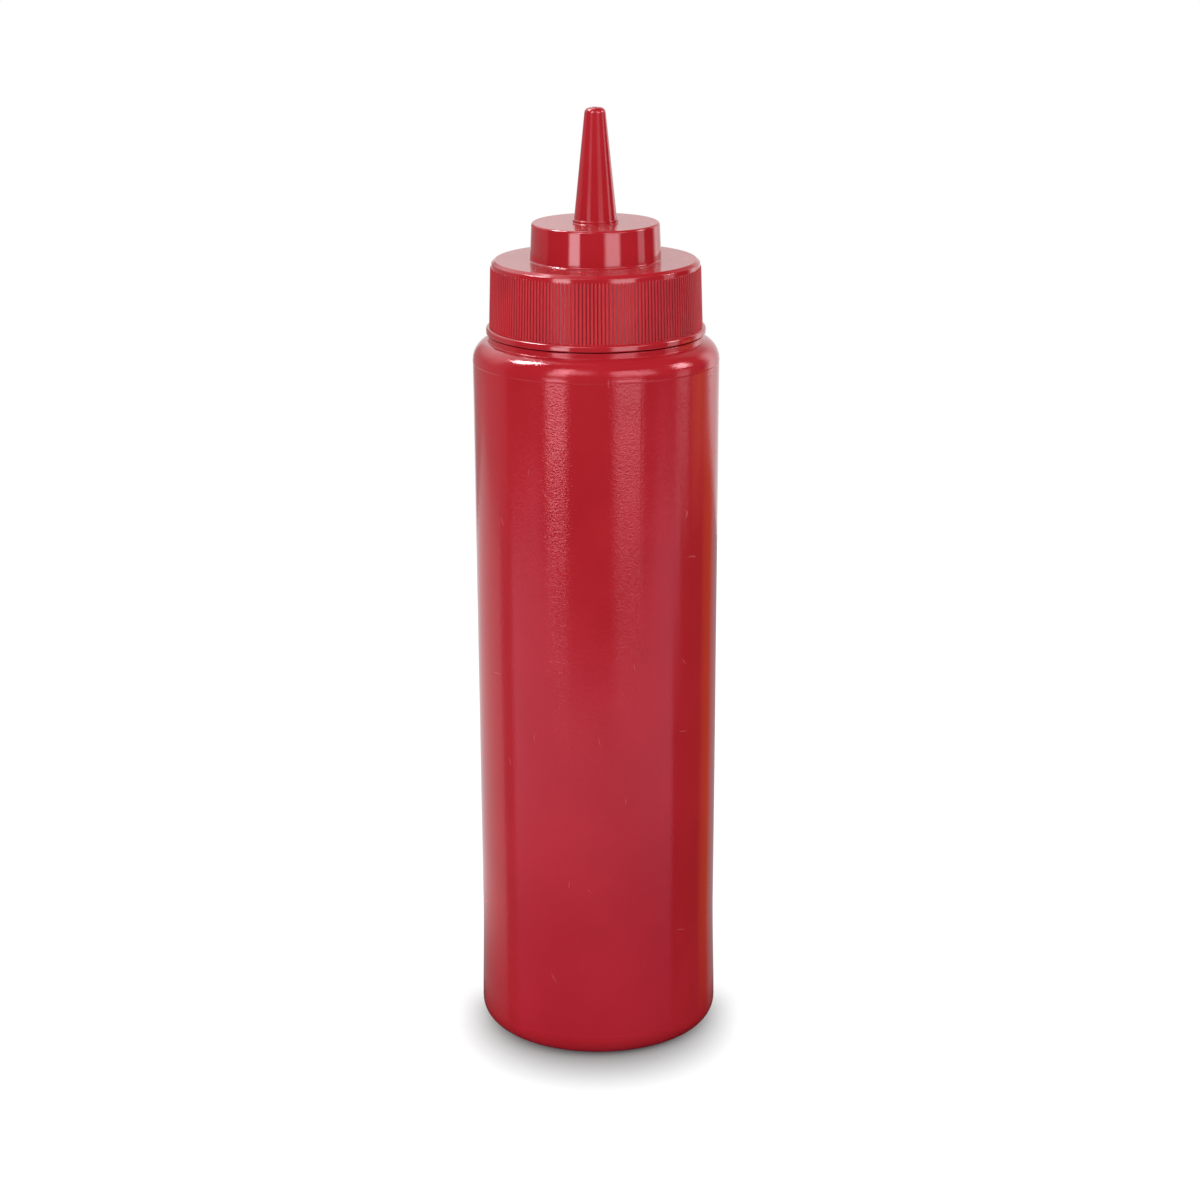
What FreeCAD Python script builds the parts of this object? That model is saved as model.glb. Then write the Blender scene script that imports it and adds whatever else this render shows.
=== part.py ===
import FreeCAD, Part
import math
import os
import Sketcher

# Squeeze bottle for sauce: a blow-moulded bottle and a one-piece screw cap with a cone nozzle.
# Millimetres, +Z up, origin at the centre of the base. Both pieces are turned about the Z axis.
# Heights climb in one chain: foot, shoulder, neck collar, cap rim, flat top, turret, nozzle tip.
# Radii grow from the body to the shoulder, and outwards from the neck: bore, skirt, rim bead.

SIZES = [
    # bottle
    ("bodyRadius", 37.25, "radius of the wall where it is slimmest"),
    ("waistHeight", 40, "height of the slimmest place"),
    ("footSwell", 0.4, "how much wider the foot of the wall is than the slimmest place"),
    ("wallSwell", 0.45, "how much wider the top of the plain wall is"),
    ("shoulderSwell", 0.8, "how much wider the shoulder is, the widest place"),
    ("footRound", 6.5, "rounding between the base and the wall"),
    ("footBand", 0.6, "straight band above that rounding, where the base of the mould ends"),
    ("restWidth", 4.15, "width of the flat ring that the bottle stands on"),
    ("hollowSlope", 12, "width of the slope between that ring and the flat middle of the hollow"),
    ("hollowRise", 3, "rise of the hollow under the base"),
    ("shoulderHeight", 217.5, "height where the shoulder turns in"),
    ("shoulderBand", 0.6, "straight band below the rounding of the shoulder"),
    ("shoulderRound", 6.7, "rounding of the shoulder"),
    ("flareHeight", 16.9, "height over which the plain wall widens to the shoulder"),
    # neck, and how it sits in the cap
    ("neckInset", 7.75, "how far the neck in the cap lies inside the shoulder"),
    ("neckEdge", 0.6, "chamfer on the top edge of the neck"),
    ("collarRise", 1.4, "height of the neck collar above the rounding of the shoulder"),
    ("collarInset", 0.5, "how far the neck collar stays inside the rim bead of the cap"),
    ("collarEdge", 0.3, "chamfer on the top edge of the neck collar"),
    ("boreClearance", 0.3, "radial gap between the neck and the bore of the cap"),
    ("rimGap", 0.4, "gap between the neck collar and the rim of the cap"),
    # skirt of the cap
    ("skirtWall", 1.9, "wall of the skirt just above the rim bead, without the ribs"),
    ("skirtDraft", 1.7, "lean of the skirt, in degrees"),
    ("capHeight", 22.5, "height from the rim of the cap to its flat top"),
    ("topWall", 2, "thickness of the flat top over the neck"),
    ("beadProud", 1.3, "how far the rim bead stands out from the skirt"),
    ("beadHeight", 2, "height of the rim bead"),
    ("beadRound", 0.8, "rounding of the upper edge of the rim bead"),
    ("beadUnder", 0.3, "rounding of the lower edge of the rim bead"),
    ("bevelDrop", 0.9, "height of the bevel round the flat top"),
    ("bevelWidth", 1.1, "width of the bevel round the flat top"),
    # grip ribs
    ("ribCount", 180, "number of ribs round the skirt"),
    ("ribWidth", 0.6, "width of a rib"),
    ("ribProud", 0.31, "how far a rib stands out from the skirt"),
    ("ribSink", 0.3, "how far a rib is rooted in the skirt"),
    ("ribRoot", 0.5, "how far a rib runs down into the rim bead"),
    ("ribBand", 1.1, "plain band between the upper ends of the ribs and the bevel"),
    # turret and nozzle
    ("turretRadius", 20.1, "radius of the turret at its foot"),
    ("turretTaper", 0.5, "radius that the turret loses over its height"),
    ("turretHeight", 11.3, "height of the turret"),
    ("turretRound", 0.8, "rounding of the upper edge of the turret"),
    ("turretFillet", 0.5, "fillet at the foot of the turret"),
    ("bossRadius", 6.95, "radius of the low boss under the nozzle"),
    ("bossHeight", 0.95, "height of the low boss"),
    ("coneRadius", 6.55, "radius of the nozzle at its foot"),
    ("coneHeight", 33.7, "height of the nozzle above the boss"),
    ("tipRadius", 3.1, "radius of the nozzle at its tip, without the rounding"),
    ("tipRound", 1.8, "rounding of the tip"),
    ("holeRadius", 0.9, "radius of the hole in the tip"),
    ("holeDepth", 8, "depth of the hole in the tip"),
]

doc = FreeCAD.newDocument("SqueezeBottle")
sheet = doc.addObject("Spreadsheet::Sheet", "sizes")
for row, (alias, number, meaning) in enumerate(SIZES, start=1):
    sheet.set("A%d" % row, meaning)
    sheet.set("B%d" % row, str(number))
    sheet.setAlias("B%d" % row, alias)
doc.recompute()


class Size:
    """A length of the model: its value, and the expression that ties it to the sheet."""

    def __init__(self, value, text):
        self.value = value
        self.text = text

    def __add__(self, other):
        return Size(self.value + other.value, "%s + %s" % (self.text, other.text))

    def __sub__(self, other):
        return Size(self.value - other.value, "%s - (%s)" % (self.text, other.text))


def size(alias):
    return Size(float(sheet.get(alias)), "sizes." + alias)


def leaning(height):
    """How far the skirt of the cap leans inwards over a height."""
    draft = size("skirtDraft")
    lean = height.value * math.tan(math.radians(draft.value))
    return Size(lean, "(%s) * tan(%s)" % (height.text, draft.text))


zero = Size(0.0, "0")

# ---------------------------------------------------------------- heights and radii that follow

foot_top = size("footRound") + size("footBand")
shoulder_foot = size("shoulderHeight") - size("shoulderBand")
wall_top = shoulder_foot - size("flareHeight")
shoulder_top = size("shoulderHeight") + size("shoulderRound")
collar_top = shoulder_top + size("collarRise")
rim = collar_top + size("rimGap")
bead_top = rim + size("beadHeight")
flat_top = rim + size("capHeight")
ceiling = flat_top - size("topWall")
bevel_foot = flat_top - size("bevelDrop")
turret_top = flat_top + size("turretHeight")
boss_top = turret_top + size("bossHeight")
tip = boss_top + size("coneHeight")

foot = size("bodyRadius") + size("footSwell")
rest = foot - size("footRound")
hollow = rest - size("restWidth")
hollow_flat = hollow - size("hollowSlope")
wall = size("bodyRadius") + size("wallSwell")
shoulder = size("bodyRadius") + size("shoulderSwell")
neck = shoulder - size("neckInset")
bore = neck + size("boreClearance")
skirt = bore + size("skirtWall")
bead = skirt + size("beadProud")
collar = bead - size("collarInset")
skirt_height = bevel_foot - bead_top
bevel_outer = skirt - leaning(skirt_height)
bevel_inner = bevel_outer - size("bevelWidth")
turret_rim = size("turretRadius") - size("turretTaper")

# ---------------------------------------------------------------- sketches


def origin_part(body, role):
    """The plane or axis of a body's own origin that has this role."""
    for feature in body.Origin.OriginFeatures:
        if feature.Role == role:
            return feature


def new_sketch(body, name, plane):
    sketch = body.newObject("Sketcher::SketchObject", name)
    sketch.AttachmentSupport = [(origin_part(body, plane), "")]
    sketch.MapMode = "FlatFace"
    return sketch


def point(radius, height):
    """Where a radius and a height lie in a sketch on the XZ plane."""
    return FreeCAD.Vector(radius.value, height.value, 0)


def bind(sketch, length, kind, *where):
    """Adds a dimension that follows the sheet."""
    index = sketch.addConstraint(Sketcher.Constraint(kind, *where, length.value))
    sketch.setExpression("Constraints[%d]" % index, length.text)


def pin(sketch, segment, end, radius, height):
    """Ties one end of a segment to a radius and a height."""
    if radius is zero:
        sketch.addConstraint(Sketcher.Constraint("PointOnObject", segment, end, -2))
    else:
        bind(sketch, radius, "DistanceX", -1, 1, segment, end)
    if height is zero:
        sketch.addConstraint(Sketcher.Constraint("PointOnObject", segment, end, -1))
    else:
        bind(sketch, height, "DistanceY", -1, 1, segment, end)


def draw_outline(sketch, corners):
    """Draws straight lines through (radius, height) corners and back to the first one."""
    last = len(corners) - 1
    for index, corner in enumerate(corners):
        following = corners[0 if index == last else index + 1]
        sketch.addGeometry(Part.LineSegment(point(*corner), point(*following)))
    for index, (radius, height) in enumerate(corners):
        before = last if index == 0 else index - 1
        sketch.addConstraint(Sketcher.Constraint("Coincident", before, 2, index, 1))
        pin(sketch, index, 1, radius, height)


# ---------------------------------------------------------------- features


def turn(body, name, corners):
    """Adds a solid turned about the Z axis from an outline."""
    sketch = new_sketch(body, name + "Outline", "XZ_Plane")
    draw_outline(sketch, corners)
    turned = body.newObject("PartDesign::Revolution", name)
    turned.Profile = sketch
    turned.ReferenceAxis = (sketch, ["V_Axis"])
    doc.recompute()


def ring_edge(feature, radius, height):
    """Name of a feature's circular edge at this radius and height."""
    for number, edge in enumerate(feature.Shape.Edges, start=1):
        if not edge.Degenerated and isinstance(edge.Curve, Part.Circle):
            off_radius = abs(edge.Curve.Radius - radius.value)
            off_height = abs(edge.Curve.Center.z - height.value)
            if max(off_radius, off_height) < 1e-4:
                return "Edge%d" % number


def dress(body, kind, name, radius, height, amount):
    """Rounds or chamfers the circular edge at this radius and height."""
    base = body.Tip
    dressing = body.newObject("PartDesign::" + kind, name)
    dressing.Base = (base, [ring_edge(base, radius, height)])
    dressing.setExpression("Radius" if kind == "Fillet" else "Size", amount.text)
    doc.recompute()


def hollow_base(body):
    """Cuts the shallow hollow under the base, which leaves a flat ring to stand on."""
    sketch = new_sketch(body, "hollowOutline", "XZ_Plane")
    draw_outline(sketch, [
        (zero, zero),
        (hollow, zero),
        (hollow_flat, size("hollowRise")),
        (zero, size("hollowRise")),
    ])
    groove = body.newObject("PartDesign::Groove", "hollow")
    groove.Profile = sketch
    groove.ReferenceAxis = (sketch, ["V_Axis"])
    doc.recompute()


def drill_tip(body):
    """Cuts the hole in the tip. It is blind: what lies deeper in the nozzle isn't modelled."""
    sketch = new_sketch(body, "holeOutline", "XY_Plane")
    sketch.setExpression("AttachmentOffset.Base.z", tip.text)
    radius = size("holeRadius")
    circle = Part.Circle(FreeCAD.Vector(0, 0, 0), FreeCAD.Vector(0, 0, 1), radius.value)
    mouth = sketch.addGeometry(circle)
    sketch.addConstraint(Sketcher.Constraint("Coincident", mouth, 3, -1, 1))
    bind(sketch, radius, "Radius", mouth)
    hole = body.newObject("PartDesign::Pocket", "hole")
    hole.Profile = sketch
    hole.setExpression("Length", size("holeDepth").text)
    doc.recompute()


def rib_round_skirt(body):
    """Adds the grip ribs: each leans with the skirt, is rooted in the bead and has a round top."""
    sketch = new_sketch(body, "ribOutline", "XZ_Plane")
    depth = size("ribProud") + size("ribSink")
    length = skirt_height - size("ribBand") + size("ribRoot")
    start_height = bead_top - size("ribRoot")
    start_radius = skirt - size("ribSink") + leaning(size("ribRoot"))
    end_height = start_height + length
    end_radius = start_radius - leaning(length)

    start = point(start_radius, start_height)
    end = point(end_radius, end_height)
    upwards = (end - start).normalize() * depth.value
    outwards = FreeCAD.Vector(upwards.y, -upwards.x, 0)
    centre = end - upwards
    middle = centre + (outwards + upwards) * math.sqrt(0.5)
    back = sketch.addGeometry(Part.LineSegment(start, end))
    sole = sketch.addGeometry(Part.LineSegment(start, start + outwards))
    crest = sketch.addGeometry(Part.LineSegment(start + outwards, centre + outwards))
    top = sketch.addGeometry(Part.Arc(centre + outwards, middle, end))
    sketch.addConstraint(Sketcher.Constraint("Coincident", back, 1, sole, 1))
    sketch.addConstraint(Sketcher.Constraint("Coincident", sole, 2, crest, 1))
    sketch.addConstraint(Sketcher.Constraint("Tangent", crest, 2, top, 1))
    sketch.addConstraint(Sketcher.Constraint("Coincident", top, 2, back, 2))
    sketch.addConstraint(Sketcher.Constraint("PointOnObject", top, 3, back))
    sketch.addConstraint(Sketcher.Constraint("Perpendicular", back, sole))
    sketch.addConstraint(Sketcher.Constraint("Parallel", back, crest))
    pin(sketch, back, 1, start_radius, start_height)
    pin(sketch, back, 2, end_radius, end_height)
    bind(sketch, depth, "Distance", sole)

    rib = body.newObject("PartDesign::Pad", "rib")
    rib.Profile = sketch
    rib.SideType = "Symmetric"
    rib.setExpression("Length", size("ribWidth").text)
    doc.recompute()
    ribs = body.newObject("PartDesign::PolarPattern", "ribs")
    ribs.Originals = [rib]
    ribs.Axis = (origin_part(body, "Z_Axis"), [""])
    ribs.Angle = 360
    ribs.setExpression("Occurrences", size("ribCount").text)
    body.Tip = ribs
    doc.recompute()


# ---------------------------------------------------------------- bottle

bottle = doc.addObject("PartDesign::Body", "bottle")
bottle.Label = "bottle"
turn(bottle, "wall", [
    (zero, zero),
    (foot, zero),
    (foot, foot_top),
    (size("bodyRadius"), size("waistHeight")),
    (wall, wall_top),
    (shoulder, shoulder_foot),
    (shoulder, shoulder_top),
    (zero, shoulder_top),
])
dress(bottle, "Fillet", "footRounding", foot, zero, size("footRound"))
dress(bottle, "Fillet", "shoulderRounding", shoulder, shoulder_top, size("shoulderRound"))
turn(bottle, "neck", [
    (zero, size("shoulderHeight")),
    (collar, size("shoulderHeight")),
    (collar, collar_top),
    (neck, collar_top),
    (neck, ceiling),
    (zero, ceiling),
])
dress(bottle, "Chamfer", "collarChamfer", collar, collar_top, size("collarEdge"))
dress(bottle, "Chamfer", "neckChamfer", neck, ceiling, size("neckEdge"))
hollow_base(bottle)

# ---------------------------------------------------------------- cap

cap = doc.addObject("PartDesign::Body", "cap")
cap.Label = "cap"
turn(cap, "closure", [
    (zero, ceiling),
    (bore, ceiling),
    (bore, rim),
    (bead, rim),
    (bead, bead_top),
    (skirt, bead_top),
    (bevel_outer, bevel_foot),
    (bevel_inner, flat_top),
    (size("turretRadius"), flat_top),
    (turret_rim, turret_top),
    (size("bossRadius"), turret_top),
    (size("bossRadius"), boss_top),
    (size("coneRadius"), boss_top),
    (size("tipRadius"), tip),
    (zero, tip),
])
dress(cap, "Fillet", "beadRounding", bead, bead_top, size("beadRound"))
dress(cap, "Fillet", "beadUnderside", bead, rim, size("beadUnder"))
dress(cap, "Fillet", "turretRounding", turret_rim, turret_top, size("turretRound"))
dress(cap, "Fillet", "turretFoot", size("turretRadius"), flat_top, size("turretFillet"))
dress(cap, "Fillet", "tipRounding", size("tipRadius"), tip, size("tipRound"))
drill_tip(cap)
rib_round_skirt(cap)

# ---------------------------------------------------------------- checks, then one file for each piece

for item in doc.Objects:
    if "Invalid" in item.State or "Error" in item.State:
        raise RuntimeError("%s did not recompute: %s" % (item.Name, item.State))
for piece in (bottle, cap):
    if piece.Shape.isNull() or not piece.Shape.isValid() or len(piece.Shape.Solids) != 1:
        raise RuntimeError("%s is not one valid solid" % piece.Label)
# The hollow and the hole have to take material away, and the ribs have to add it.
for cut, made_by in ((doc.hollow, doc.neckChamfer), (doc.hole, doc.tipRounding)):
    if cut.Shape.Volume >= made_by.Shape.Volume:
        raise RuntimeError("%s cuts nothing" % cut.Name)
if doc.ribs.Shape.Volume <= doc.rib.Shape.Volume:
    raise RuntimeError("the ribs add nothing")

os.makedirs("parts", exist_ok=True)
for piece in (bottle, cap):
    piece.Shape.exportStep("parts/%s.step" % piece.Label)
    print("%s: %.1f mm3, %d faces" % (piece.Label, piece.Shape.Volume, len(piece.Shape.Faces)))
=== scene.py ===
# Squeeze bottle for sauce: a blow-moulded bottle and its one-piece nozzle cap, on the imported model.
# Metres, +Z up. The bottle stands on the origin and its front looks along -Y.
from math import cos, degrees, pi, radians, sin, tan

import bmesh
import bpy
from mathutils import Matrix, Vector


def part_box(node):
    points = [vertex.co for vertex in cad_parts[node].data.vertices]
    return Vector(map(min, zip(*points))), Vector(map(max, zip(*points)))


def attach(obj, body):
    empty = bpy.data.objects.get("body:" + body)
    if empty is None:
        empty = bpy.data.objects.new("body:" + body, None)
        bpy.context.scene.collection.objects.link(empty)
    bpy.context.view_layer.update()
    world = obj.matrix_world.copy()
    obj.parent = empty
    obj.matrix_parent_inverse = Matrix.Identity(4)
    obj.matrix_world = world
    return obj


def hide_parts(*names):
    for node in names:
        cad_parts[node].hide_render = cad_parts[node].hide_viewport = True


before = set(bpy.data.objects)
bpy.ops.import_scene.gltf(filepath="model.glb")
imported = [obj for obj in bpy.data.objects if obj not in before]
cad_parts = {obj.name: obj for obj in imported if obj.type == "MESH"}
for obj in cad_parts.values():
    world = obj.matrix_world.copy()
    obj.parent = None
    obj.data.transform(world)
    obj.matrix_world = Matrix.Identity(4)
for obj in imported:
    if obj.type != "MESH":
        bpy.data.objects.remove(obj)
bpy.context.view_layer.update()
mm = 0.001
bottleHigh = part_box("bottle")[1] / mm
capLow, capHigh = [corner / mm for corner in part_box("cap")]
print("stage: frame loaded,", len(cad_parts), "nodes")


# small helpers for node trees, Geometry Nodes and materials alike

def addNode(tree, kind, inputs=None, **settings):
    # a node with its settings, and with its inputs linked or set
    node = tree.nodes.new(kind)
    for name, value in settings.items():
        setattr(node, name, value)
    for name, value in (inputs or {}).items():
        plug(tree, value, node.inputs[name])
    return node


def plug(tree, value, socket):
    # a socket is linked, anything else becomes the default value
    if isinstance(value, bpy.types.NodeSocket):
        tree.links.new(value, socket)
    else:
        socket.default_value = value


def calc(tree, operation, *values):
    # one step of arithmetic
    node = addNode(tree, "ShaderNodeMath", operation=operation)
    for index, value in enumerate(values):
        plug(tree, value, node.inputs[index])
    return node.outputs[0]


def ramp(tree, value, fromLow, fromHigh, toLow=0.0, toHigh=1.0):
    # a smooth step from one level to another
    node = addNode(tree, "ShaderNodeMapRange", interpolation_type="SMOOTHSTEP", inputs={
        "Value": value, "From Min": fromLow, "From Max": fromHigh, "To Min": toLow, "To Max": toHigh,
    })
    return node.outputs["Result"]


def between(tree, value, low, lowSoft, high, highSoft):
    # one inside the two edges, zero outside, soft at each
    return calc(tree, "MULTIPLY", ramp(tree, value, low, low + lowSoft),
                ramp(tree, value, high - highSoft, high, 1.0, 0.0))


def addVectors(tree, total, levels):
    # adds three levels to a vector or a colour
    part = addNode(tree, "ShaderNodeCombineXYZ", dict(zip("XYZ", levels))).outputs[0]
    return addNode(tree, "ShaderNodeVectorMath", {0: total, 1: part}, operation="ADD").outputs[0]


def newTree(name, sockets):
    # a Geometry Nodes tree with named inputs; returns it with its input and output nodes
    tree = bpy.data.node_groups.new(name, "GeometryNodeTree")
    tree.interface.new_socket("Geometry", in_out="OUTPUT", socket_type="NodeSocketGeometry")
    tree.interface.new_socket("Geometry", in_out="INPUT", socket_type="NodeSocketGeometry")
    for label, kind in sockets:
        tree.interface.new_socket(label, in_out="INPUT", socket_type="NodeSocket" + kind)
    return tree, tree.nodes.new("NodeGroupInput"), tree.nodes.new("NodeGroupOutput")


def finishTree(tree, geometry, material, groupOut):
    # what is instanced becomes real faces, and gets its material
    real = addNode(tree, "GeometryNodeRealizeInstances", {"Geometry": geometry})
    painted = addNode(tree, "GeometryNodeSetMaterial", {
        "Geometry": real.outputs["Geometry"], "Material": material,
    })
    tree.links.new(painted.outputs["Geometry"], groupOut.inputs["Geometry"])


def growPiece(name, seedMesh, tree, values):
    # runs a tree on a mesh and keeps the result as a plain mesh
    host = bpy.data.objects.new(name + "Seed", seedMesh)
    bpy.context.scene.collection.objects.link(host)
    modifier = host.modifiers.new("grow", "NODES")
    modifier.node_group = tree
    sockets = {item.name: item.identifier for item in tree.interface.items_tree
               if item.in_out == "INPUT"}
    for label, value in values.items():
        modifier[sockets[label]] = value
    grown = bpy.data.meshes.new_from_object(host.evaluated_get(bpy.context.evaluated_depsgraph_get()))
    grown.name = name
    bpy.data.objects.remove(host)
    piece = bpy.data.objects.new(name, grown)
    bpy.context.scene.collection.objects.link(piece)
    faceOutwards(piece)
    return piece


def faceOutwards(piece):
    # a closed shell is lit and exported right only where its faces look outwards
    shell = bmesh.new()
    shell.from_mesh(piece.data)
    bmesh.ops.recalc_face_normals(shell, faces=shell.faces)
    shell.to_mesh(piece.data)
    shell.free()


def settle(piece, node):
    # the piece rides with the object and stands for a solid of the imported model
    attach(piece, "root")
    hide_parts(node)


# outlines, as (radius, height) in millimetres

def roundCorners(corners, stepAngle=9.0, hold=0.05):
    # each corner is (radius, height, rounding); long straight runs get a point just inside each end,
    # so that the smooth shading of a rounding stays on the rounding
    sharp, longRun = 1e-6, 6 * hold
    outline = [Vector(corners[0][:2])]
    for before, corner, after in zip(corners, corners[1:], corners[2:]):
        here = Vector(corner[:2])
        inward = (Vector(before[:2]) - here).normalized()
        onward = (Vector(after[:2]) - here).normalized()
        turn = pi - inward.angle(onward)
        reach = corner[2] * tan(turn / 2)
        if reach < sharp:
            outline.append(here)
            continue
        centre = here + (inward + onward).normalized() * corner[2] / cos(turn / 2)
        first = here + inward * reach - centre
        side = 1 if onward.cross(inward) > 0 else -1
        steps = max(2, round(degrees(turn) / stepAngle))
        for step in range(steps + 1):
            outline.append(centre + Matrix.Rotation(side * turn * step / steps, 2) @ first)
    outline.append(Vector(corners[-1][:2]))
    held = [outline[0]]
    for start, end in zip(outline, outline[1:]):
        run = end - start
        if run.length > longRun:
            held += [start + run.normalized() * hold, end - run.normalized() * hold]
        held.append(end)
    return [tuple(spot) for spot in held]


def outlineMesh(name, outline):
    # a chain of edges in the XZ plane
    mesh = bpy.data.meshes.new(name)
    edges = [(index, index + 1) for index in range(len(outline) - 1)]
    mesh.from_pydata([(radius * mm, 0, height * mm) for radius, height in outline], edges, [])
    return mesh


# Geometry Nodes: a turned shell, and a ring of copies

def makeTurnedShell():
    # sweeps the outline round Z: a grid has one row for each point of the outline and is bent round;
    # the wall may be uneven between two heights, as a blown wall is
    tree, groupIn, groupOut = newTree("turnedShell", [
        ("Columns", "Int"), ("Unevenness", "Float"), ("Wave size", "Float"),
        ("Even below", "Float"), ("Even above", "Float"), ("Seed", "Float"), ("Material", "Material"),
    ])
    fadeIn, fadeOut, weld = 2.5, 0.95, 1e-6
    read = groupIn.outputs
    rows = addNode(tree, "GeometryNodeAttributeDomainSize", {"Geometry": read["Geometry"]},
                   component="MESH").outputs["Point Count"]
    grid = addNode(tree, "GeometryNodeMeshGrid", {
        "Vertices X": calc(tree, "ADD", read["Columns"], 1), "Vertices Y": rows,
    })
    index = addNode(tree, "GeometryNodeInputIndex").outputs[0]
    row = calc(tree, "MODULO", index, rows)
    column = calc(tree, "FLOOR", calc(tree, "DIVIDE", calc(tree, "ADD", index, 0.5), rows))
    spot = addNode(tree, "GeometryNodeSampleIndex", {
        "Geometry": read["Geometry"], "Index": row,
        "Value": addNode(tree, "GeometryNodeInputPosition").outputs[0],
    }, data_type="FLOAT_VECTOR", domain="POINT")
    outline = addNode(tree, "ShaderNodeSeparateXYZ", {"Vector": spot.outputs[0]}).outputs
    angle = calc(tree, "MULTIPLY", calc(tree, "DIVIDE", column, read["Columns"]), 2 * pi)
    around = addNode(tree, "ShaderNodeCombineXYZ", {
        "X": calc(tree, "MULTIPLY", outline["X"], calc(tree, "COSINE", angle)),
        "Y": calc(tree, "MULTIPLY", outline["X"], calc(tree, "SINE", angle)),
        "Z": outline["Z"],
    }).outputs[0]
    waves = addNode(tree, "ShaderNodeTexNoise", {
        "Vector": around, "W": read["Seed"], "Scale": calc(tree, "DIVIDE", 1.0, read["Wave size"]),
        "Detail": 1.0,
    }, noise_dimensions="4D").outputs[0]
    aboveFoot = ramp(tree, outline["Z"], read["Even below"],
                     calc(tree, "MULTIPLY", read["Even below"], fadeIn))
    belowTop = ramp(tree, outline["Z"], calc(tree, "MULTIPLY", read["Even above"], fadeOut),
                    read["Even above"], 1.0, 0.0)
    uneven = calc(tree, "MULTIPLY", aboveFoot, belowTop)
    sag = calc(tree, "MULTIPLY", calc(tree, "MULTIPLY", waves, uneven), read["Unevenness"])
    radius = calc(tree, "MAXIMUM", outline["X"], mm)
    pull = calc(tree, "SUBTRACT", 1.0, calc(tree, "DIVIDE", sag, radius))
    shrink = addNode(tree, "ShaderNodeCombineXYZ", {"X": pull, "Y": pull, "Z": 1.0}).outputs[0]
    place = addNode(tree, "ShaderNodeVectorMath", {0: around, 1: shrink}, operation="MULTIPLY")
    placed = addNode(tree, "GeometryNodeSetPosition", {
        "Geometry": grid.outputs["Mesh"], "Position": place.outputs[0],
    })
    closed = addNode(tree, "GeometryNodeMergeByDistance", {
        "Geometry": placed.outputs["Geometry"], "Distance": weld,
    })
    smooth = addNode(tree, "GeometryNodeSetShadeSmooth", {"Geometry": closed.outputs["Geometry"]})
    finishTree(tree, smooth.outputs["Geometry"], read["Material"], groupOut)
    return tree


def makeRingOfCopies():
    # sets copies of a piece upright on a circle round Z, each turned to face outwards
    tree, groupIn, groupOut = newTree("ringOfCopies", [
        ("Count", "Int"), ("Radius", "Float"), ("Height", "Float"), ("Material", "Material"),
    ])
    read = groupIn.outputs
    circle = addNode(tree, "GeometryNodeMeshCircle", {
        "Vertices": read["Count"], "Radius": read["Radius"],
    })
    lifted = addNode(tree, "GeometryNodeSetPosition", {
        "Geometry": circle.outputs["Mesh"],
        "Offset": addNode(tree, "ShaderNodeCombineXYZ", {"Z": read["Height"]}).outputs[0],
    })
    index = addNode(tree, "GeometryNodeInputIndex").outputs[0]
    turned = calc(tree, "MULTIPLY", calc(tree, "DIVIDE", index, read["Count"]), 2 * pi)
    copies = addNode(tree, "GeometryNodeInstanceOnPoints", {
        "Points": lifted.outputs["Geometry"], "Instance": read["Geometry"],
        "Rotation": addNode(tree, "ShaderNodeCombineXYZ", {"Z": turned}).outputs[0],
    })
    finishTree(tree, copies.outputs["Instances"], read["Material"], groupOut)
    return tree


# sizes of the cap, which its plastic reads too: millimetres, and degrees for a lean or an azimuth

cap = {
    "columns": 288,
    "rim": capLow.z, "tip": capHigh.z, "ceiling": bottleHigh.z,
    "boreRadius": 30.6, "beadRadius": capHigh.x, "beadTop": capLow.z + 2.0,
    "skirtRadius": 32.5, "skirtLean": 1.7,
    "flatTop": capLow.z + 22.5, "bevelDrop": 0.9, "bevelWidth": 1.1,
    "turretRadius": 20.1, "turretTaper": 0.5, "turretTop": capLow.z + 33.8,
    "bossRadius": 6.95, "bossTop": capLow.z + 34.75,
    "coneRadius": 6.55, "tipRadius": 3.1, "tipRound": 1.8, "holeRadius": 0.9, "holeDepth": 8.0,
}
rib = {
    "count": 180, "width": 0.84, "proud": 0.30, "sunk": 0.15, "inBead": 0.3, "band": 1.1,
    "arcSteps": 8, "endSteps": 3, "endStub": 0.4, "sharpFrom": 50,
}


# red plastics

scuff = {
    # fine scratches, the same on every plastic
    "spin": 6.3, "bend": 90.0, "rarity": 0.45,
    "halfWidth": 0.03 * mm, "widthEnd": 0.11 * mm, "halfLength": 0.3 * mm, "lengthEnd": 1.6 * mm,
    "relief": 0.02 * mm, "dullness": 0.3, "cover": 0.7,
}
cloud = {
    # faint clouds, in which the red and the gloss change a little
    "scale": 28.0, "detail": 3.0, "redFrom": 0.35, "redTo": 0.65,
    "glossFrom": 0.3, "glossTo": 0.7, "glossChange": 0.02,
}
grain = {
    # fine leathery lumps
    "detail": 2.0, "roughness": 0.55, "distortion": 0.6, "squash": 1.5,
}
grip = {
    # where the ribs' duller look begins and ends: upwards, and outwards from the skirt
    "footFade": 0.4 * mm, "topFade": 0.5 * mm, "outsideFrom": -0.6 * mm, "outsideTo": -0.3 * mm,
}
flatTop = {
    # how level a top is, and how deep in a pit the dust lies
    "upFrom": 0.97, "upTo": 0.995, "dustFrom": 0.42, "dustTo": 0.66,
}
seam = {
    # the line of the mould, on two sides of the bottle
    "azimuth": 19.5, "width": 1.5 * mm, "edge": 0.15 * mm, "depth": 0.035 * mm,
    "foot": 9 * mm, "top": 216 * mm, "fade": 6 * mm,
}
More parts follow.
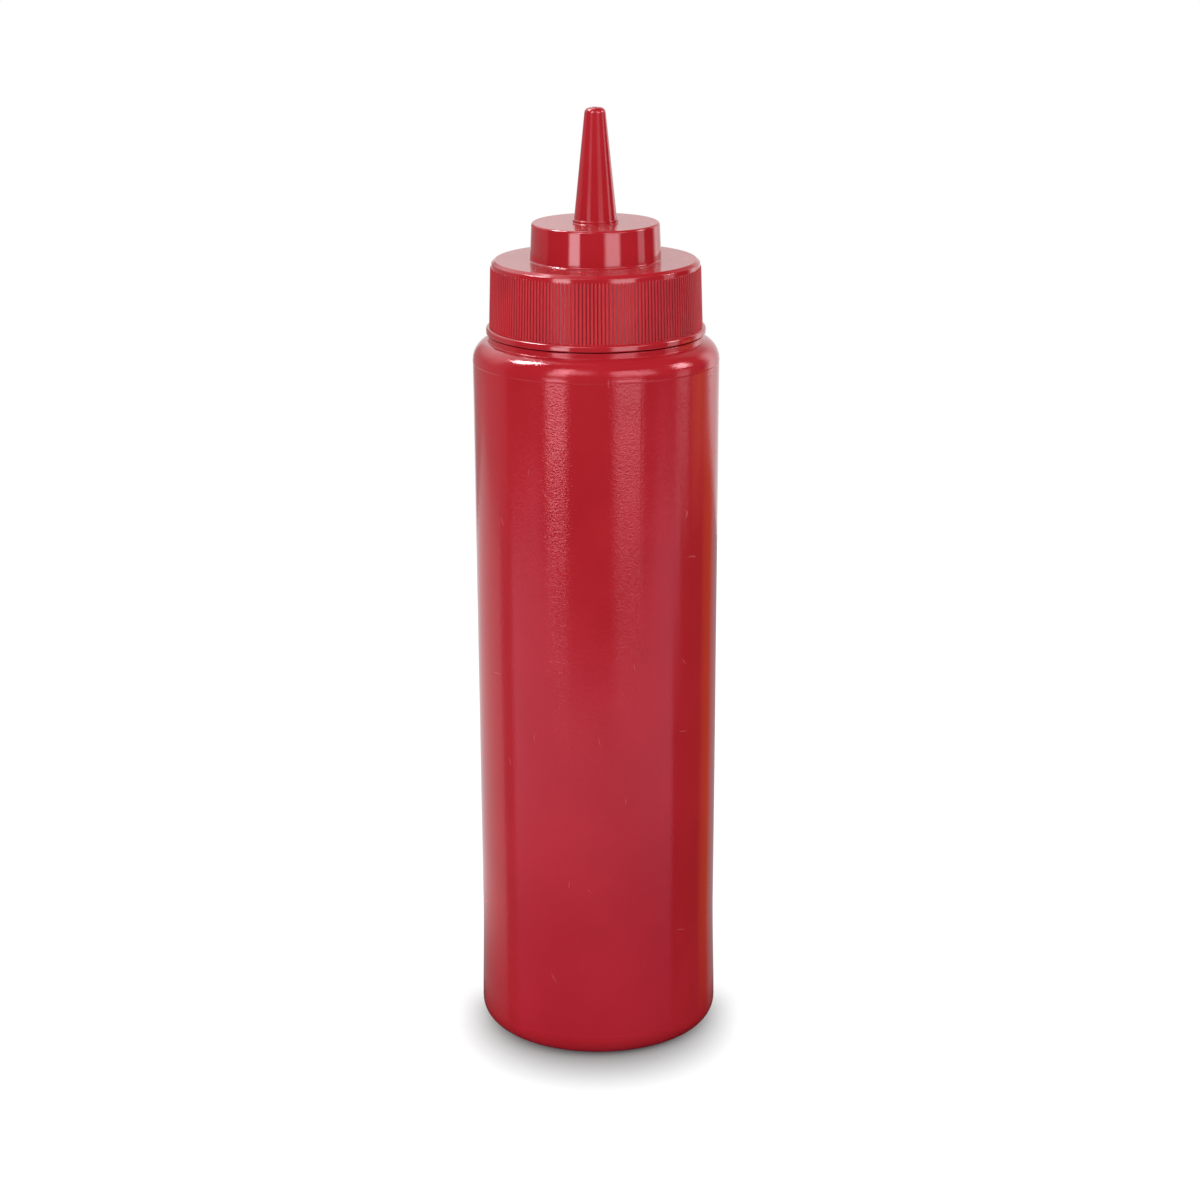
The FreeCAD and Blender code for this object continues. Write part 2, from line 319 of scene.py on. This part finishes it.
bottlePlastic = {
    "color": (0.430, 0.0165, 0.0255, 1), "shade": (0.395, 0.0140, 0.0215, 1),
    "roughness": 0.105, "mirrorLevel": 0.5, "mirrorTint": (1.0, 0.50, 0.58, 1),
    "grainSize": 0.9 * mm, "grainDepth": 0.036 * mm,
    "scuffSize": 22 * mm, "scuffColor": (0.58, 0.11, 0.12, 1),
}
capPlastic = {
    "color": (0.425, 0.0160, 0.0245, 1), "shade": (0.395, 0.0140, 0.0215, 1),
    "roughness": 0.09, "mirrorLevel": 0.5, "mirrorTint": (1.0, 0.82, 0.88, 1),
    "grainSize": 0.5 * mm, "grainDepth": 0.0030 * mm,
    "scuffSize": 30 * mm, "scuffColor": (0.56, 0.11, 0.12, 1),
    # the groove colour and its depth paint shade into the grooves between the ribs
    "ribRoughness": 0.30, "grooveShadeDepth": 0.15 * mm, "grooveShadeColor": (0.230, 0.0075, 0.0120, 1),
    "topRoughness": 0.18, "topGrain": 0.012 * mm, "topSize": 0.8 * mm,
    "dust": 0.30, "dustColor": (0.50, 0.24, 0.24, 1),
}
# the grip ribs are the same plastic as the cap; their lighter red is painted light, for the light the ribs
# catch
litGripPlastic = {
    **capPlastic, "color": (0.530, 0.0212, 0.0315, 1), "roughness": 0.30, "mirrorLevel": 0.24,
}


def mixColours(tree, share, first, second):
    node = addNode(tree, "ShaderNodeMix", data_type="RGBA")
    values = {"Factor_Float": share, "A_Color": first, "B_Color": second}
    for socket in node.inputs:
        if socket.identifier in values:
            plug(tree, values[socket.identifier], socket)
    return next(socket for socket in node.outputs if socket.identifier == "Result_Color")


def makeGrain(tree, place, size, depth, squash):
    # a height of fine lumps, flatter the larger the squash is
    flat = addNode(tree, "ShaderNodeVectorMath", {0: place, 1: (1.0, 1.0, squash)}, operation="MULTIPLY")
    lumps = addNode(tree, "ShaderNodeTexNoise", {
        "Vector": flat.outputs[0], "Scale": 1 / size, "Detail": grain["detail"],
        "Roughness": grain["roughness"], "Distortion": grain["distortion"],
    }).outputs[0]
    return calc(tree, "MULTIPLY", lumps, depth)


def makeScuffs(tree, place, spread):
    # one scratch in some cells of a Voronoi pattern, each at its own angle, slightly bent
    cells = addNode(tree, "ShaderNodeTexVoronoi", {
        "Vector": place, "Scale": 1 / spread, "Randomness": 1.0,
    }, voronoi_dimensions="3D", feature="F1")
    offset = addNode(tree, "ShaderNodeVectorMath", {0: place, 1: cells.outputs["Position"]},
                     operation="SUBTRACT").outputs[0]
    chance = addNode(tree, "ShaderNodeSeparateXYZ", {"Vector": cells.outputs["Color"]}).outputs
    spin = addNode(tree, "ShaderNodeCombineXYZ", {
        "X": calc(tree, "MULTIPLY", chance["X"], scuff["spin"]),
        "Y": calc(tree, "MULTIPLY", chance["Y"], scuff["spin"]),
        "Z": 0.0,
    }).outputs[0]
    turned = addNode(tree, "ShaderNodeVectorRotate", {"Vector": offset, "Rotation": spin},
                     rotation_type="EULER_XYZ").outputs[0]
    local = addNode(tree, "ShaderNodeSeparateXYZ", {"Vector": turned}).outputs
    curve = calc(tree, "MULTIPLY", calc(tree, "POWER", local["Y"], 2.0), scuff["bend"])
    bent = calc(tree, "ABSOLUTE", calc(tree, "SUBTRACT", local["X"], curve))
    along = calc(tree, "ABSOLUTE", local["Y"])
    thin = ramp(tree, bent, scuff["halfWidth"], scuff["widthEnd"], 1.0, 0.0)
    short = ramp(tree, along, scuff["halfLength"], scuff["lengthEnd"], 1.0, 0.0)
    some = calc(tree, "GREATER_THAN", chance["Z"], scuff["rarity"])
    return calc(tree, "MULTIPLY", calc(tree, "MULTIPLY", thin, short), some)


def seamRelief(tree, spot):
    # the band where the two halves of the mould met, on both sides of the bottle
    turn = radians(seam["azimuth"])
    aside = calc(tree, "ABSOLUTE", calc(tree, "ADD", calc(tree, "MULTIPLY", spot["X"], cos(turn)),
                                        calc(tree, "MULTIPLY", spot["Y"], sin(turn))))
    half = seam["width"] / 2
    across = ramp(tree, aside, half - seam["edge"], half + seam["edge"], 1.0, 0.0)
    along = between(tree, spot["Z"], seam["foot"], seam["fade"], seam["top"], seam["fade"])
    return calc(tree, "MULTIPLY", calc(tree, "MULTIPLY", across, along), seam["depth"])


def ribShares(tree, spot, grooveShadeDepth):
    # how far a spot is on the ribbed grip, which is duller, and how far down in a groove, where shade is
    # painted darker
    radius = calc(tree, "SQRT", calc(tree, "ADD", calc(tree, "POWER", spot["X"], 2.0),
                                     calc(tree, "POWER", spot["Y"], 2.0)))
    lean = tan(radians(cap["skirtLean"]))
    skirtAtZero = (cap["skirtRadius"] + cap["beadTop"] * lean) * mm
    proud = calc(tree, "ADD", calc(tree, "SUBTRACT", radius, skirtAtZero),
                 calc(tree, "MULTIPLY", spot["Z"], lean))
    ribTop = cap["flatTop"] - cap["bevelDrop"] - rib["band"]
    level = between(tree, spot["Z"], cap["beadTop"] * mm, grip["footFade"], ribTop * mm, grip["topFade"])
    outside = ramp(tree, proud, grip["outsideFrom"], grip["outsideTo"])
    ribbed = calc(tree, "MULTIPLY", level, outside)
    # painted shade: darker the deeper a spot lies between the ribs
    grooveShade = calc(tree, "MULTIPLY", ribbed, ramp(tree, proud, 0.0, grooveShadeDepth, 1.0, 0.0))
    return ribbed, grooveShade


def addRibs(tree, spot, look, body, dull):
    # duller on the ribbed grip, and darker in its grooves as painted shade
    ribbed, grooveShade = ribShares(tree, spot, look["grooveShadeDepth"])
    return (mixColours(tree, grooveShade, body, look["grooveShadeColor"]),
            calc(tree, "MAXIMUM", dull, calc(tree, "MULTIPLY", ribbed, look["ribRoughness"])))


def addTops(tree, texture, look, body, dull, relief):
    # the flat tops are finely pitted and a little duller, with some dust in the pits
    upward = addNode(tree, "ShaderNodeSeparateXYZ", {"Vector": texture["Normal"]}).outputs["Z"]
    onTop = ramp(tree, upward, flatTop["upFrom"], flatTop["upTo"])
    pits = makeGrain(tree, texture["Object"], look["topSize"], 1.0, 1.0)
    pitted = calc(tree, "MULTIPLY", calc(tree, "MULTIPLY", pits, onTop), look["topGrain"])
    dusty = calc(tree, "MULTIPLY", onTop,
                 ramp(tree, pits, flatTop["dustFrom"], flatTop["dustTo"], 0.0, look["dust"]))
    return (mixColours(tree, dusty, body, look["dustColor"]),
            calc(tree, "MAXIMUM", dull, calc(tree, "MULTIPLY", onTop, look["topRoughness"])),
            calc(tree, "ADD", relief, pitted))


def makePlastic(name, look, seamed=False, ribbed=False):
    material = bpy.data.materials.new(name)
    material.use_nodes = True
    tree = material.node_tree
    texture = addNode(tree, "ShaderNodeTexCoord").outputs
    place = texture["Object"]
    spot = addNode(tree, "ShaderNodeSeparateXYZ", {"Vector": place}).outputs
    clouds = addNode(tree, "ShaderNodeTexNoise", {
        "Vector": place, "Scale": cloud["scale"], "Detail": cloud["detail"],
    }).outputs[0]
    scuffs = makeScuffs(tree, place, look["scuffSize"])
    body = mixColours(tree, ramp(tree, clouds, cloud["redFrom"], cloud["redTo"]),
                      look["shade"], look["color"])
    haze = ramp(tree, clouds, cloud["glossFrom"], cloud["glossTo"],
                -cloud["glossChange"], cloud["glossChange"])
    dull = calc(tree, "ADD", calc(tree, "ADD", haze, look["roughness"]),
                calc(tree, "MULTIPLY", scuffs, scuff["dullness"]))
    # fine leathery grain of the mould, a little wider than tall, and the scratches' edges
    relief = calc(tree, "ADD",
                  makeGrain(tree, place, look["grainSize"], look["grainDepth"], grain["squash"]),
                  calc(tree, "MULTIPLY", scuffs, scuff["relief"]))
    if seamed:
        relief = calc(tree, "ADD", relief, seamRelief(tree, spot))
    if ribbed:
        body, dull = addRibs(tree, spot, look, body, dull)
        body, dull, relief = addTops(tree, texture, look, body, dull, relief)
    worn = mixColours(tree, calc(tree, "MULTIPLY", scuffs, scuff["cover"]), body, look["scuffColor"])
    bump = addNode(tree, "ShaderNodeBump", {"Height": relief, "Strength": 1.0, "Distance": 1.0})
    inputs = tree.nodes["Principled BSDF"].inputs
    for label, value in {
        "Base Color": worn, "Roughness": dull, "Normal": bump.outputs["Normal"], "IOR": 1.5,
        "Specular IOR Level": look["mirrorLevel"], "Specular Tint": look["mirrorTint"],
    }.items():
        plug(tree, value, inputs[label])
    return material


bottleRed = makePlastic("bottlePlastic", bottlePlastic, seamed=True)
capRed = makePlastic("capPlastic", capPlastic, ribbed=True)
litGripRed = makePlastic("litGripPlastic", litGripPlastic, ribbed=True)
turnedShell = makeTurnedShell()
ringOfCopies = makeRingOfCopies()
print("stage: plastics and node trees made")


# bottle: everything below the cap, turned in one piece

bottle = {
    "columns": 288,
    "hollowRise": 3.0, "hollowFlat": 15.0, "restInner": 27.0,
    "footRadius": bottleHigh.x - 0.40, "footRound": 6.5,
    "waistRadius": bottleHigh.x - 0.80, "waistHeight": 40.0, "wallRows": 64, "swell": 0.85,
    "shoulderRadius": bottleHigh.x - 0.07, "shoulderHeight": 217.5, "shoulderRound": 6.63,
    # the arc of the shoulder starts above the flash, so it is a little tighter; it is drawn on into
    # the collar, cut off just outside it, and the collar starts a little below the shoulder's top
    "roundLess": 0.35, "intoCollar": 0.9, "outsideCollar": 0.25, "belowTop": 0.3,
    "collarRadius": 33.3, "collarTop": capLow.z - 0.4, "neckRadius": 30.3,
    "flashHeight": 0.06, "footFlashHeight": 0.03, "flashWidth": 0.30, "footFlash": 7.1,
    "unevenness": 0.10, "waveSize": 34.0, "seed": 4.0, "evenFoot": 10.0, "evenTop": 2.0,
}


def wallRadius(height):
    # the wall is slimmest near the foot and widens slowly upwards to the shoulder
    waist, waistHeight = bottle["waistRadius"], bottle["waistHeight"]
    down = (waistHeight - height) / (waistHeight - bottle["footRound"])
    down = min(1.0, max(0.0, down))
    up = max(0.0, (height - waistHeight) / (bottle["shoulderHeight"] - waistHeight))
    return (waist + (bottle["footRadius"] - waist) * down * down * (3 - 2 * down)
            + (bottle["shoulderRadius"] - waist) * up ** bottle["swell"])


def flash(radius, height, proud):
    # the fine raised line that two parts of a mould leave
    half = bottle["flashWidth"] / 2
    return [(radius, height - half), (radius + proud, height - half / 3),
            (radius + proud, height + half / 3), (radius, height + half)]


def bottleOutline():
    # hollow, rest ring and foot; wall; shoulder; collar and neck: each corner is (radius, height, rounding)
    foot = roundCorners([
        (0, bottle["hollowRise"], 0), (bottle["hollowFlat"], bottle["hollowRise"], 14.0),
        (bottle["restInner"], 0, 1.2), (bottle["footRadius"], 0, bottle["footRound"]),
        (bottle["footRadius"], bottle["footFlash"] - bottle["flashWidth"], 0),
    ], stepAngle=6.0)
    wallStart = bottle["footFlash"] + bottle["flashWidth"]
    wallEnd = bottle["shoulderHeight"] - bottle["flashWidth"]
    rows = bottle["wallRows"]
    wall = [wallStart + (wallEnd - wallStart) * row / rows for row in range(rows + 1)]
    top = bottle["shoulderHeight"] + bottle["shoulderRound"]
    shoulder = roundCorners([
        (bottle["shoulderRadius"], bottle["shoulderHeight"] + bottle["flashWidth"], 0),
        (bottle["shoulderRadius"], top, bottle["shoulderRound"] - bottle["roundLess"]),
        (bottle["collarRadius"] - bottle["intoCollar"], top, 0),
    ], stepAngle=5.0)
    lastRadius = bottle["collarRadius"] + bottle["outsideCollar"]
    shoulder = [spot for spot in shoulder if spot[0] > lastRadius]
    neck = roundCorners([
        shoulder[-1], (bottle["collarRadius"], top - bottle["belowTop"], 0.35),
        (bottle["collarRadius"], bottle["collarTop"], 0.3),
        (bottle["neckRadius"], bottle["collarTop"], 0.2),
        (bottle["neckRadius"], bottleHigh.z, 0.5), (0, bottleHigh.z, 0),
    ], stepAngle=12.0)
    return (foot + flash(wallRadius(bottle["footFlash"]), bottle["footFlash"], bottle["footFlashHeight"])
            + [(wallRadius(height), height) for height in wall]
            + flash(bottle["shoulderRadius"], bottle["shoulderHeight"], bottle["flashHeight"])
            + shoulder[:-1] + neck)


bottleShell = growPiece("bottleShell", outlineMesh("bottleOutline", bottleOutline()), turnedShell, {
    "Columns": bottle["columns"], "Unevenness": bottle["unevenness"] * mm,
    "Wave size": bottle["waveSize"] * mm, "Seed": bottle["seed"],
    "Even below": bottle["evenFoot"] * mm,
    "Even above": (bottle["shoulderHeight"] - bottle["evenTop"]) * mm, "Material": bottleRed,
})
settle(bottleShell, "bottle")
print("stage: bottle made,", len(bottleShell.data.polygons), "faces")


# cap: rim bead, skirt, flat top, turret and nozzle, turned in one piece, with a ring of grip ribs

def skirtRadius(height):
    return cap["skirtRadius"] - (height - cap["beadTop"]) * tan(radians(cap["skirtLean"]))


def capOutline():
    # bore, bead, skirt, bevel, turret, boss, cone and the hole in its tip
    bevelFoot = cap["flatTop"] - cap["bevelDrop"]
    return roundCorners([
        (0, cap["ceiling"], 0), (cap["boreRadius"], cap["ceiling"], 0.2),
        (cap["boreRadius"], cap["rim"], 0.3), (cap["beadRadius"], cap["rim"], 0.3),
        (cap["beadRadius"], cap["beadTop"], 0.8), (cap["skirtRadius"], cap["beadTop"], 0.25),
        (skirtRadius(bevelFoot), bevelFoot, 0.35),
        (skirtRadius(bevelFoot) - cap["bevelWidth"], cap["flatTop"], 0.3),
        (cap["turretRadius"], cap["flatTop"], 0.5),
        (cap["turretRadius"] - cap["turretTaper"], cap["turretTop"], 0.8),
        (cap["bossRadius"], cap["turretTop"], 0.25), (cap["bossRadius"], cap["bossTop"], 0.2),
        (cap["coneRadius"], cap["bossTop"], 0.12), (cap["tipRadius"], cap["tip"], cap["tipRound"]),
        (cap["holeRadius"], cap["tip"], 0.2), (cap["holeRadius"], cap["tip"] - cap["holeDepth"], 0),
        (0, cap["tip"] - cap["holeDepth"], 0),
    ])


def ribMesh():
    # one rib with its foot at the origin: half-round across, rounded at its upper end, and leaning
    # with the skirt; its foot is sunk in the bead
    foot = cap["beadTop"] - rib["inBead"]
    length = cap["flatTop"] - cap["bevelDrop"] - rib["band"] - foot
    lean = tan(radians(cap["skirtLean"]))
    across = [(rib["proud"] * sin(pi * step / rib["arcSteps"]),
               rib["width"] / 2 * cos(pi * step / rib["arcSteps"])) for step in range(rib["arcSteps"] + 1)]
    levels = [(0.0, 1.0)]
    for step in range(rib["endSteps"] + 1):
        angle = pi / 2 * step / (rib["endSteps"] + rib["endStub"])
        levels.append((length - rib["width"] * (1 - sin(angle)), cos(angle)))
    shell = bmesh.new()
    rings = []
    for height, share in levels:
        ring = [(out * share, side * share) for out, side in across]
        ring += [(-rib["sunk"], ring[-1][1]), (-rib["sunk"], ring[0][1])]
        rings.append([shell.verts.new(((out - lean * height) * mm, side * mm, height * mm))
                      for out, side in ring])
    for lower, upper in zip(rings, rings[1:]):
        for index in range(len(lower)):
            following = (index + 1) % len(lower)
            shell.faces.new((lower[index], lower[following], upper[following], upper[index]))
    shell.faces.new(rings[0])
    shell.faces.new(rings[-1])
    for face in shell.faces:
        face.smooth = True
    mesh = bpy.data.meshes.new("gripRib")
    shell.to_mesh(mesh)
    shell.free()
    return mesh, foot


# a moulded cap is even, so that the size of the waves and where they fade make no difference
capShell = growPiece("capShell", outlineMesh("capOutline", capOutline()), turnedShell, {
    "Columns": cap["columns"], "Unevenness": 0.0, "Wave size": 1.0, "Seed": 0.0,
    "Even below": 0.1, "Even above": 1.0, "Material": capRed,
})
settle(capShell, "cap")
ribSeed, ribFoot = ribMesh()
gripRibs = growPiece("gripRibs", ribSeed, ringOfCopies, {
    "Count": rib["count"], "Radius": skirtRadius(ribFoot) * mm, "Height": ribFoot * mm,
    "Material": litGripRed,
})
gripRibs.data.set_sharp_from_angle(angle=radians(rib["sharpFrom"]))
settle(gripRibs, "cap")
print("stage: cap made,", len(capShell.data.polygons), "and", len(gripRibs.data.polygons), "faces")


# studio: pale table, white surroundings, lamps for the matt light, and panels for the gloss to mirror

studio = {
    # edges of the table (m), and how wide the fade of its front edge is in the gloss
    "tableFront": -0.47, "tableLeft": -0.66, "tableRight": 0.76, "tableBack": 0.60, "frontFade": 0.12,
    # how pale the table is to the eye, and how much light it throws back left and right of these places
    "tableSeen": 0.30, "leftBounce": 0.73, "bounceFrom": -0.06, "rightBounce": 0.22, "bounceTo": 0.12,
    # the shade round the foot: where it starts, its width to the sides, how much wider it is in front,
    # how far behind the axis it ends, and its tint
    "shadeStart": 26 * mm, "sideShade": 23 * mm, "frontShade": 21 * mm, "shadeBack": 30 * mm,
    "coolShade": 0.93, "lift": 0.80,
    # how the table darkens in the gloss close to the foot
    "contact": 25 * mm, "contactLevel": 0.1,
    # light from all round for what is matt
    "fill": 0.95,
}
zoneBlur = 1.0
tableMirror = [
    # azimuth of the mirrored direction where it starts and ends (degrees to the right of the camera),
    # colour near the bottle and how far out that reaches, colour farther out and where that begins (m)
    (-190, -105, (0.30, 0.30, 0.30), 0.06, (0.86, 0.86, 0.86), 0.15),
    (-105, -89, (0.10, 0.06, 0.10), 0.06, (0.24, 0.20, 0.24), 0.15),
    (-89, 78, (0.28, 0.07, 0.27), 0.03, (1.28, 1.02, 1.28), 0.34),
    (78, 86, (0.10, 0.02, 0.02), 0.36, (1.28, 1.02, 1.28), 0.66),
    (86, 121, (0.10, 0.02, 0.02), 0.03, (0.30, 0.05, 0.03), 0.15),
    (121, 142, (0.30, 0.06, 0.01), 0.03, (0.75, 0.18, 0.02), 0.15),
    (142, 190, (0.30, 0.30, 0.30), 0.06, (0.42, 0.40, 0.40), 0.13),
]
white = (1.0, 1.0, 1.0)
panels = [
    # name, left edge and its softness, right edge and its softness, low edge and its softness,
    # high edge and its softness (degrees to the right of the camera's side, and up), radiance, tint
    ("windowLeft", -50, 6, -27, 2, -14.1, 2.4, 60, 8, 0.75, white),
    ("windowLeftLow", -50, 6, -27, 2, -14.1, 2.4, 3, 4, 6.85, white),
    ("windowLeftHigh", -50, 6, -27, 2, 9, 20, 60, 8, 7.2, white),
    ("windowGlow", -42, 12, 4, 22, 24, 12, 58, 14, 4.0, white),
    ("windowRight", 13, 8, 46, 6, -17.8, 10.0, 48, 6, 0.75, white),
    ("windowRightLow", 13, 8, 46, 6, -17.8, 10.0, 3, 4, 4.65, white),
    ("windowRightHigh", 13, 8, 46, 6, 9, 20, 48, 6, 5.0, white),
    ("windowEdge", 36, 10, 64, 12, 10, 10, 44, 8, 4.5, white),
    ("sideStrip", 79, 3, 97, 3, -13.9, 1.2, 12, 8, 1.9, white),
    ("warmCard", 99, 4, 127, 5, -90, 1, -10.4, 1.0, 0.8, (1.0, 0.45, 0.12)),
    ("warmTop", 99, 4, 119, 5, -13.8, 2, -10.4, 1.0, 0.9, (1.0, 0.48, 0.10)),
    ("topLeft", -120, 7, -93, 7, 41, 5, 65, 6, 56.0, white),
    ("topRight", 83, 6, 106, 8, 15, 7, 39, 6, 15.0, white),
    ("wallLeft", -190, 1, -92, 2, -90, 1, 90, 1, 0.37, white),
    ("highLeft", -190, 1, -104, 8, 5, 32, 80, 10, 1.5, white),
    ("backLeft", -190, 1, -160, 8, -90, 1, 60, 20, 0.54, white),
    ("wallRight", 128, 4, 190, 1, -90, 1, 60, 20, 0.40, white),
    ("rightEdge", 120, 8, 152, 20, -13.4, 1.6, 30, 10, 1.1, white),
    ("lowRight", 128, 4, 190, 1, -90, 1, 26, 12, 0.53, white),
]
lamps = [
    # name, azimuth from the camera to the right (degrees), distance, width, low edge, high edge (m),
    # radiance
    ("keyLamp", -38, 2.2, 1.2, 0.3, 1.9, 2.24),
    ("sideLamp", 66, 0.8, 0.5, 0.50, 1.0, 2.7),
]


def directionAngles(tree, x, y, z):
    # azimuth to the right of the camera's side, and elevation, in degrees
    forward = calc(tree, "MULTIPLY", y, -1.0)
    azimuth = calc(tree, "MULTIPLY", calc(tree, "ARCTAN2", x, forward), degrees(1))
    elevation = calc(tree, "MULTIPLY", calc(tree, "ARCSINE", z), degrees(1))
    return azimuth, elevation


def makeTable():
    table = bmesh.new()
    corners = [(studio["tableLeft"], studio["tableFront"]), (studio["tableRight"], studio["tableFront"]),
               (studio["tableRight"], studio["tableBack"]), (studio["tableLeft"], studio["tableBack"])]
    table.faces.new([table.verts.new((x, y, 0)) for x, y in corners])
    mesh = bpy.data.meshes.new("table")
    table.to_mesh(mesh)
    table.free()
    piece = bpy.data.objects.new("table", mesh)
    bpy.context.scene.collection.objects.link(piece)
    mesh.materials.append(makeTableFinish())


def mirroredAzimuth(tree, azimuth, away):
    # the direction in which the round wall mirrors a spot of the table, which is farther round
    # than the spot itself; the wall faces about half way between the spot and the camera
    slimness = calc(tree, "DIVIDE", bottle["waistRadius"] * mm, away)
    turned = calc(tree, "MULTIPLY", azimuth, calc(tree, "ADD", slimness, 1.0))
    facing = calc(tree, "MULTIPLY", turned, radians(0.5))
    onward = calc(tree, "ARCSINE", calc(tree, "MULTIPLY", slimness, calc(tree, "SINE", facing)))
    return calc(tree, "ADD", azimuth, calc(tree, "MULTIPLY", onward, degrees(1)))


def makeTableFinish():
    # lit like everything else, and lifted to white away from the foot; the gloss mirrors other colours
    material = bpy.data.materials.new("paleTable")
    material.use_nodes = True
    tree = material.node_tree
    tree.nodes.clear()
    rays = addNode(tree, "ShaderNodeLightPath").outputs
    seen, mirrored = rays["Is Camera Ray"], rays["Is Glossy Ray"]
    place = addNode(tree, "ShaderNodeTexCoord").outputs["Object"]
    spot = addNode(tree, "ShaderNodeSeparateXYZ", {"Vector": place}).outputs
    away = addNode(tree, "ShaderNodeVectorMath", {0: place}, operation="LENGTH").outputs["Value"]
    bounce = ramp(tree, spot["X"], studio["bounceFrom"], studio["bounceTo"],
                  studio["leftBounce"], studio["rightBounce"])
    unseen = calc(tree, "SUBTRACT", 1.0, seen)
    matt = calc(tree, "MULTIPLY", calc(tree, "SUBTRACT", 1.0, mirrored),
                calc(tree, "ADD", calc(tree, "MULTIPLY", seen, studio["tableSeen"]),
                     calc(tree, "MULTIPLY", unseen, bounce)))
    surface = addNode(tree, "ShaderNodeBsdfDiffuse", {
        "Color": addNode(tree, "ShaderNodeCombineXYZ", {
            "X": calc(tree, "MULTIPLY", matt, studio["coolShade"]), "Y": matt, "Z": matt,
        }).outputs[0],
    })
    # the shade round the foot reaches farther to the front than to the sides
    ahead = calc(tree, "POWER", calc(tree, "DIVIDE", spot["Y"], away), 2.0)
    reach = calc(tree, "ADD", calc(tree, "MULTIPLY", ahead, studio["frontShade"]), studio["sideShade"])
    outward = calc(tree, "DIVIDE", calc(tree, "SUBTRACT", away, studio["shadeStart"]), reach)
    shade = calc(tree, "MULTIPLY", ramp(tree, outward, 0.0, 1.0, 1.0, 0.0),
                 ramp(tree, spot["Y"], 0.0, studio["shadeBack"], 1.0, 0.0))
    lift = calc(tree, "MULTIPLY", calc(tree, "SUBTRACT", 1.0, shade),
                calc(tree, "MULTIPLY", seen, studio["lift"]))
    total = addNode(tree, "ShaderNodeCombineXYZ", {"X": lift, "Y": lift, "Z": lift}).outputs[0]
    edge = ramp(tree, spot["Y"], studio["tableFront"], studio["tableFront"] + studio["frontFade"])
    foot = bottle["footRadius"] * mm
    contact = ramp(tree, away, foot, foot + studio["contact"], studio["contactLevel"], 1.0)
    mirror = calc(tree, "MULTIPLY", mirrored, calc(tree, "MULTIPLY", edge, contact))
    azimuth = mirroredAzimuth(tree, directionAngles(tree, spot["X"], spot["Y"], 0.0)[0], away)
    for start, stop, nearColour, nearReach, farColour, farReach in tableMirror:
        zone = between(tree, azimuth, start - zoneBlur / 2, zoneBlur, stop + zoneBlur / 2, zoneBlur)
        share = calc(tree, "MULTIPLY", mirror, zone)
        levels = [calc(tree, "MULTIPLY", share, ramp(tree, away, nearReach, farReach, low, high))
                  for low, high in zip(nearColour, farColour)]
        total = addVectors(tree, total, levels)
    glow = addNode(tree, "ShaderNodeEmission", {"Color": total})
    both = addNode(tree, "ShaderNodeAddShader")
    tree.links.new(surface.outputs[0], both.inputs[0])
    tree.links.new(glow.outputs[0], both.inputs[1])
    tree.links.new(both.outputs[0], addNode(tree, "ShaderNodeOutputMaterial").inputs["Surface"])
    return material


def makeSurroundings():
    # white to the eye, even light for what is matt, and dark with bright panels for the gloss
    world = bpy.data.worlds.new("studio")
    bpy.context.scene.world = world
    world.use_nodes = True
    tree = world.node_tree
    rays = addNode(tree, "ShaderNodeLightPath").outputs
    way = addNode(tree, "ShaderNodeSeparateXYZ", {
        "Vector": addNode(tree, "ShaderNodeTexCoord").outputs["Generated"],
    }).outputs
    azimuth, elevation = directionAngles(tree, way["X"], way["Y"], way["Z"])
    plain = calc(tree, "ADD", calc(tree, "MAXIMUM", rays["Is Camera Ray"], rays["Is Transmission Ray"]),
                 calc(tree, "MULTIPLY", rays["Is Diffuse Ray"], studio["fill"]))
    total = addNode(tree, "ShaderNodeCombineXYZ", {"X": plain, "Y": plain, "Z": plain}).outputs[0]
    for name, left, leftSoft, right, rightSoft, low, lowSoft, high, highSoft, radiance, tint in panels:
        across = between(tree, azimuth, left, leftSoft, right, rightSoft)
        upward = between(tree, elevation, low, lowSoft, high, highSoft)
        share = calc(tree, "MULTIPLY", calc(tree, "MULTIPLY", across, upward), rays["Is Glossy Ray"])
        share.node.label = name
        levels = [calc(tree, "MULTIPLY", share, radiance * part) for part in tint]
        total = addVectors(tree, total, levels)
    tree.links.new(total, tree.nodes["Background"].inputs["Color"])


def makeLamp(name, azimuth, distance, width, low, high, radiance):
    # an upright panel that faces the bottle and is neither seen nor mirrored
    light = bpy.data.lights.new(name, "AREA")
    light.shape = "RECTANGLE"
    light.size, light.size_y = width, high - low
    light.energy = radiance * pi * width * (high - low)
    lamp = bpy.data.objects.new(name, light)
    bpy.context.scene.collection.objects.link(lamp)
    turn = radians(azimuth)
    lamp.location = (distance * sin(turn), -distance * cos(turn), (low + high) / 2)
    lamp.rotation_euler = (pi / 2, 0, turn)
    lamp.visible_camera = False
    lamp.visible_glossy = False


view = {
    # back from the axis and up (m), looking down (degrees), roll (radians), lens and sensor (mm), shift
    "back": 892.6 * mm, "up": 396.4 * mm, "down": 16.02, "roll": -0.004,
    "lens": 88.32, "sensor": 36, "shift": 0.0025,
}


def makeCamera():
    # in front of the bottle, a little above it and looking down
    data = bpy.data.cameras.new("camera")
    data.lens = view["lens"]
    data.sensor_width = view["sensor"]
    data.shift_x = view["shift"]
    camera = bpy.data.objects.new("camera", data)
    bpy.context.scene.collection.objects.link(camera)
    camera.matrix_world = (Matrix.Translation((0, -view["back"], view["up"]))
                           @ Matrix.Rotation(radians(90 - view["down"]), 4, "X")
                           @ Matrix.Rotation(view["roll"], 4, "Z"))
    bpy.context.scene.camera = camera


makeTable()
makeSurroundings()
for lamp in lamps:
    makeLamp(*lamp)
makeCamera()
bpy.context.scene.view_settings.view_transform = "Standard"
print("stage: studio and camera set")
